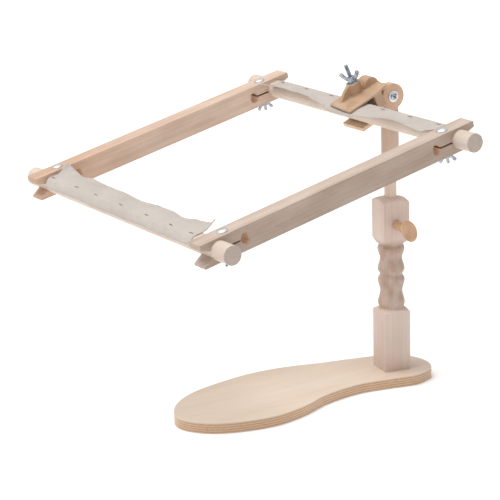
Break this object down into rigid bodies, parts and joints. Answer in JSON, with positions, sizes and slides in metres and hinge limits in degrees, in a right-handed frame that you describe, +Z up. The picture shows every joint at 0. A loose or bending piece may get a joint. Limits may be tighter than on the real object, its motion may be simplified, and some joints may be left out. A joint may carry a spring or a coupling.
{
  "type": "embroidery frame stand",
  "caption": "Sit-on scroll frame for embroidery: a tilting roller frame held by a clamp on a sliding rod in a turned wooden post on a plywood seat board.",
  "frame": {"origin": "underside of the seat board, below the middle of the post", "axes": "+Z up; +X along the side arms from the needleworker towards the post; Y along the rollers"},
  "size_m": [0.5102, 0.534, 0.4651],
  "materials": {
    "plywood": "clear satin lacquer on birch plywood",
    "turned_wood": "bare sanded beech",
    "arm_wood": "bare sanded birch",
    "roller_wood": "bare sanded birch dowel",
    "tan_moulding": "satin, wood coloured",
    "webbing": "plain woven cotton tape",
    "yellow_metal": "satin",
    "staple_wire": "bright wire",
    "zinc": "bright zinc plate"
  },
  "bodies": {
    "root": {"base_board": "plywood", "post": "turned_wood", "post_screws": "yellow_metal", "knob_insert": "yellow_metal"},
    "knob": {"locking_knob": "tan_moulding", "knob_stud": "zinc"},
    "rod": {"rod": "turned_wood"},
    "head": {"head_stem": "turned_wood", "head_disc": "tan_moulding", "pivot_screw": "zinc", "pivot_washers": "zinc"},
    "clamp": {"clamp_upper_jaw": "tan_moulding", "clamp_washer": "zinc"},
    "clamp_nut": {"clamp_wing_nut": "zinc"},
    "pivot_nut": {"pivot_wing_nut": "zinc"},
    "lower_jaw": {"clamp_lower_jaw": "tan_moulding", "clamp_bolt": "zinc"},
    "back_roller": {"back_roller": "roller_wood", "back_tape": "webbing", "back_staples": "staple_wire"},
    "side_arms": {"near_arm": "arm_wood", "far_arm": "arm_wood", "corner_bolts": "zinc", "corner_washers": "zinc"},
    "nut_near_front": {"wing_nut_near_front": "zinc"},
    "nut_near_back": {"wing_nut_near_back": "zinc"},
    "nut_far_front": {"wing_nut_far_front": "zinc"},
    "nut_far_back": {"wing_nut_far_back": "zinc"},
    "front_roller": {"front_roller": "roller_wood", "front_tape": "webbing", "front_staples": "staple_wire"}
  },
  "joints": [
    {"name": "knob_turn", "type": "hinge", "parent": "root", "child": "knob", "pos_m": [-0.00347, -0.0197, 0.232], "axis": [-0.1736, -0.9848, 0], "continuous": true},
    {"name": "rod_slide", "type": "slide", "parent": "root", "child": "rod", "axis": [0, 0, 1], "range_m": [-0.025, 0.1]},
    {"name": "head_turn", "type": "hinge", "parent": "rod", "child": "head", "pos_m": [0, 0, 0.3], "axis": [0, 0, 1], "continuous": true},
    {"name": "frame_tilt", "type": "hinge", "parent": "head", "child": "clamp", "pos_m": [0, 0, 0.415], "axis": [0, 1, 0], "range_deg": [-15, 60]},
    {"name": "clamp_nut_turn", "type": "hinge", "parent": "clamp", "child": "clamp_nut", "pos_m": [-0.05489, 0.012, 0.4402], "axis": [-0.4147, 0, 0.91], "continuous": true},
    {"name": "pivot_nut_turn", "type": "hinge", "parent": "head", "child": "pivot_nut", "pos_m": [0, 0.02, 0.415], "axis": [0, 1, 0], "continuous": true},
    {"name": "jaw_open", "type": "slide", "parent": "clamp", "child": "lower_jaw", "axis": [0.4147, 0, -0.91], "range_m": [0, 0.006]},
    {"name": "back_roller_slide", "type": "slide", "parent": "clamp", "child": "back_roller", "axis": [0, 1, 0], "range_m": [-0.05, 0.05]},
    {"name": "arm_swing", "type": "hinge", "parent": "back_roller", "child": "side_arms", "pos_m": [-0.05561, 0, 0.40031], "axis": [0, 1, 0], "range_deg": [-20, 45]},
    {"name": "front_roller_turn", "type": "hinge", "parent": "side_arms", "child": "front_roller", "pos_m": [-0.42511, 0, 0.3116], "axis": [0, 1, 0], "continuous": true},
    {"name": "nut_near_front_turn", "type": "hinge", "parent": "side_arms", "child": "nut_near_front", "pos_m": [-0.40454, -0.2225, 0.29875], "axis": [0.2334, 0, -0.9724], "continuous": true},
    {"name": "nut_near_back_turn", "type": "hinge", "parent": "side_arms", "child": "nut_near_back", "pos_m": [-0.0681, -0.2225, 0.37952], "axis": [0.2334, 0, -0.9724], "continuous": true},
    {"name": "nut_far_front_turn", "type": "hinge", "parent": "side_arms", "child": "nut_far_front", "pos_m": [-0.40454, 0.2225, 0.29875], "axis": [0.2334, 0, -0.9724], "continuous": true},
    {"name": "nut_far_back_turn", "type": "hinge", "parent": "side_arms", "child": "nut_far_back", "pos_m": [-0.0681, 0.2225, 0.37952], "axis": [0.2334, 0, -0.9724], "continuous": true}
  ]
}
